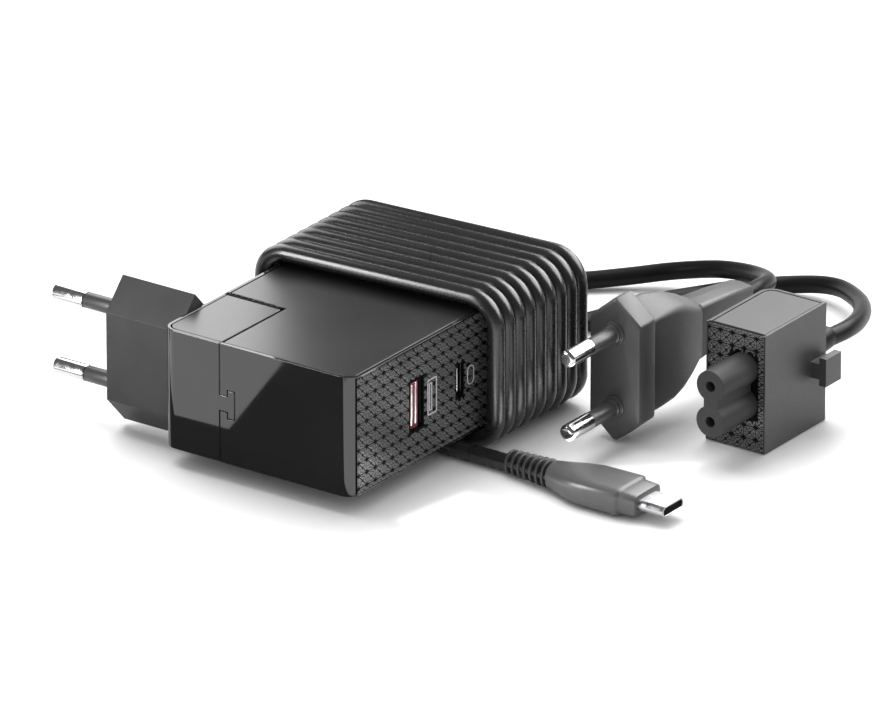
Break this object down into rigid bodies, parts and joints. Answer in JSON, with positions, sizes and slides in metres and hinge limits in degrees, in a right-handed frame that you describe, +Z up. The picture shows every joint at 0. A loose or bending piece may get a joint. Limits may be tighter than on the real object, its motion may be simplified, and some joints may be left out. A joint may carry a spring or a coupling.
{
  "type": "usb wall charger",
  "caption": "Slim USB wall charger with its cable wound round the body, a slide-off mains plug module and a separate mains lead that fits the same slot",
  "frame": {"origin": "on the surface the charger lies on, under the middle of the box round the charger and the lead's adapter block", "axes": "+X from the charger's mains pins towards its port end and the adapter block, +Y from the pocket end with the plug module to the end where the cable leaves, +Z up"},
  "size_m": [0.1515, 0.1655, 0.0384],
  "materials": {
    "gloss_shell": "gloss",
    "matte_panel": "fine matte",
    "patterned_panel": "satin with a raised lattice",
    "port_steel": "satin",
    "red_plastic": "satin",
    "black_plastic": "matte",
    "board_green": "matte",
    "ferrite": "matte",
    "copper": "enamelled wire",
    "capacitor_sleeve": "satin",
    "heatsink_metal": "satin",
    "brass": "satin",
    "cable_rubber": "satin",
    "plug_plastic": "matte",
    "pin_metal": "polished",
    "sleeve_plastic": "satin"
  },
  "bodies": {
    "charger": {"housing": "gloss_shell", "top_panel": "matte_panel", "bottom_panel": "matte_panel", "port_panel": "patterned_panel", "usb_a_shell": "port_steel", "usb_c_shell": "port_steel", "usb_a_tongue": "red_plastic", "usb_c_tongue": "black_plastic", "main_board": "board_green", "port_board": "board_green", "transformer_core": "ferrite", "transformer_winding": "copper", "input_capacitor": "capacitor_sleeve", "output_capacitor": "capacitor_sleeve", "filter_choke": "copper", "bridge_rectifier": "black_plastic", "heatsink": "heatsink_metal", "inlet_socket": "black_plastic", "inlet_pin_upper": "brass", "inlet_pin_lower": "brass", "cable_boot": "cable_rubber", "usb_cable_start": "cable_rubber", "usb_cable_winding": "cable_rubber", "usb_cable_tail": "cable_rubber", "usb_plug_relief": "cable_rubber", "usb_plug_grip": "cable_rubber", "usb_plug_shell": "port_steel"},
    "plug_module": {"module_shell": "gloss_shell", "module_top_panel": "matte_panel", "module_bottom_panel": "matte_panel", "module_patterned_plate": "patterned_panel", "module_connector": "plug_plastic", "module_contact_upper": "brass", "module_contact_lower": "brass", "module_plug_body": "plug_plastic", "module_pin_upper": "pin_metal", "module_pin_lower": "pin_metal", "module_sleeve_upper": "sleeve_plastic", "module_sleeve_lower": "sleeve_plastic"},
    "mains_lead": {"block_shell": "gloss_shell", "block_top_panel": "matte_panel", "block_bottom_panel": "matte_panel", "block_patterned_plate": "patterned_panel", "block_connector": "plug_plastic", "block_contact_upper": "brass", "block_contact_lower": "brass", "block_cord_collar": "cable_rubber", "mains_cord_block_side": "cable_rubber", "mains_cord_plug_side": "cable_rubber", "mains_cord_coil": "cable_rubber", "lead_plug_grip": "plug_plastic", "lead_plug_tail": "cable_rubber", "lead_pin_upper": "pin_metal", "lead_pin_lower": "pin_metal", "lead_sleeve_upper": "sleeve_plastic", "lead_sleeve_lower": "sleeve_plastic"}
  },
  "joints": [
    {"name": "plug_slide", "type": "slide", "parent": "charger", "child": "plug_module", "axis": [0, -1, 0], "range_m": [0, 0.03]},
    {"name": "lead_slide", "type": "slide", "parent": "charger", "child": "mains_lead", "axis": [0, 1, 0], "range_m": [0, 0.1]}
  ]
}
